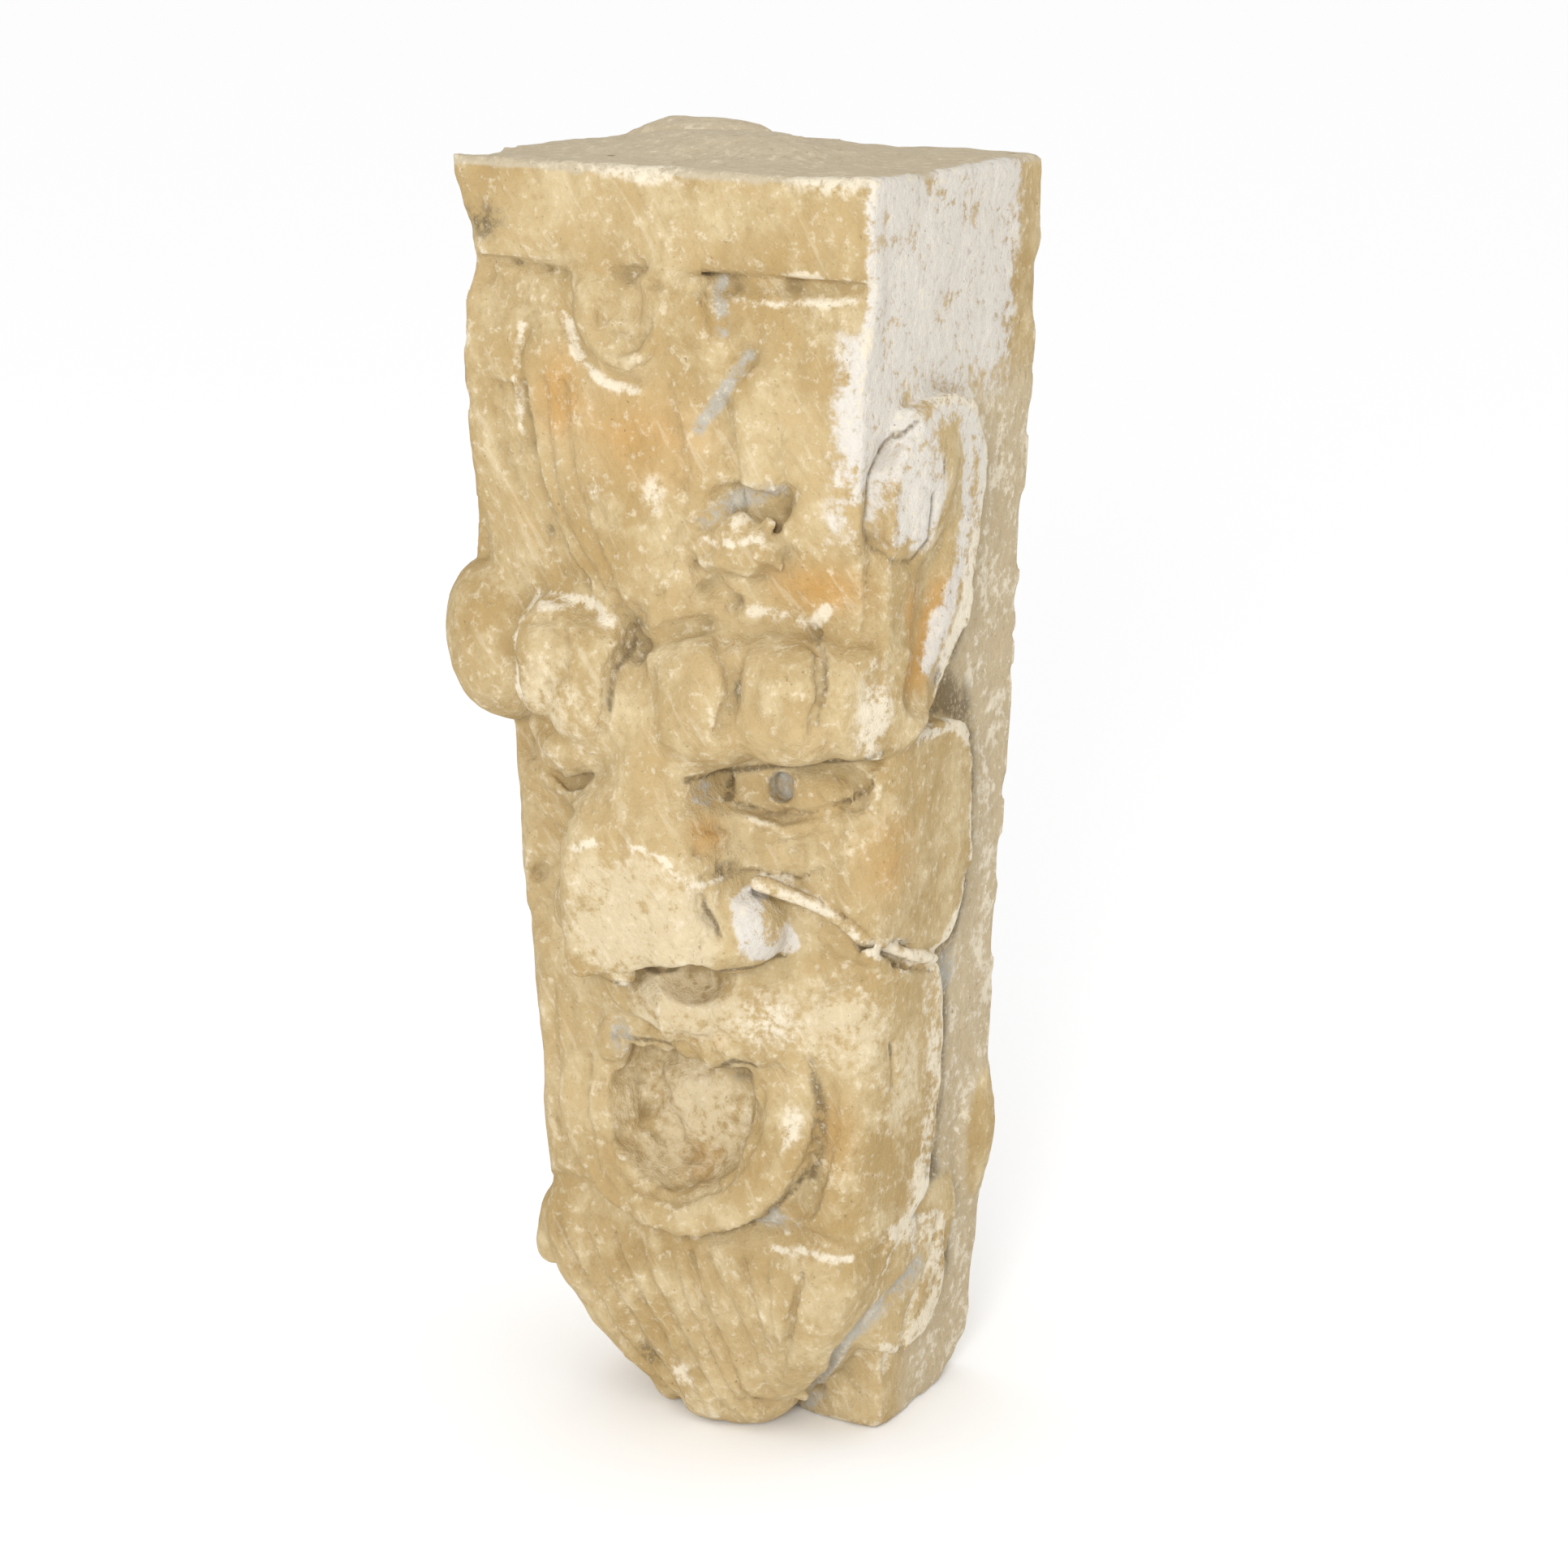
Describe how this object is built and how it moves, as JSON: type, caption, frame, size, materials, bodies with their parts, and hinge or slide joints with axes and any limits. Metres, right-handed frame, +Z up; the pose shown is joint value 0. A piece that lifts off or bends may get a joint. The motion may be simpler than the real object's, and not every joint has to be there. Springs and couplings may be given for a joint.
{
  "type": "keystone",
  "caption": "Carved limestone keystone: a tapering arch stone with a grotesque mask of brows, nose, ring mouth and leafy beard under a plain band.",
  "frame": {"origin": "centre plane of the stone, on the underside it stands on, 75 mm in front of the back", "axes": "+Z up along the height, -Y out of the carved front, +X to the right of someone who faces the mask"},
  "size_m": [0.3031, 0.2427, 0.772],
  "materials": {
    "limestone": "weathered ochre limestone, cream where chipped, with remains of limewash and grey mortar"
  },
  "bodies": {
    "root": {"keystone": "limestone"}
  },
  "joints": []
}
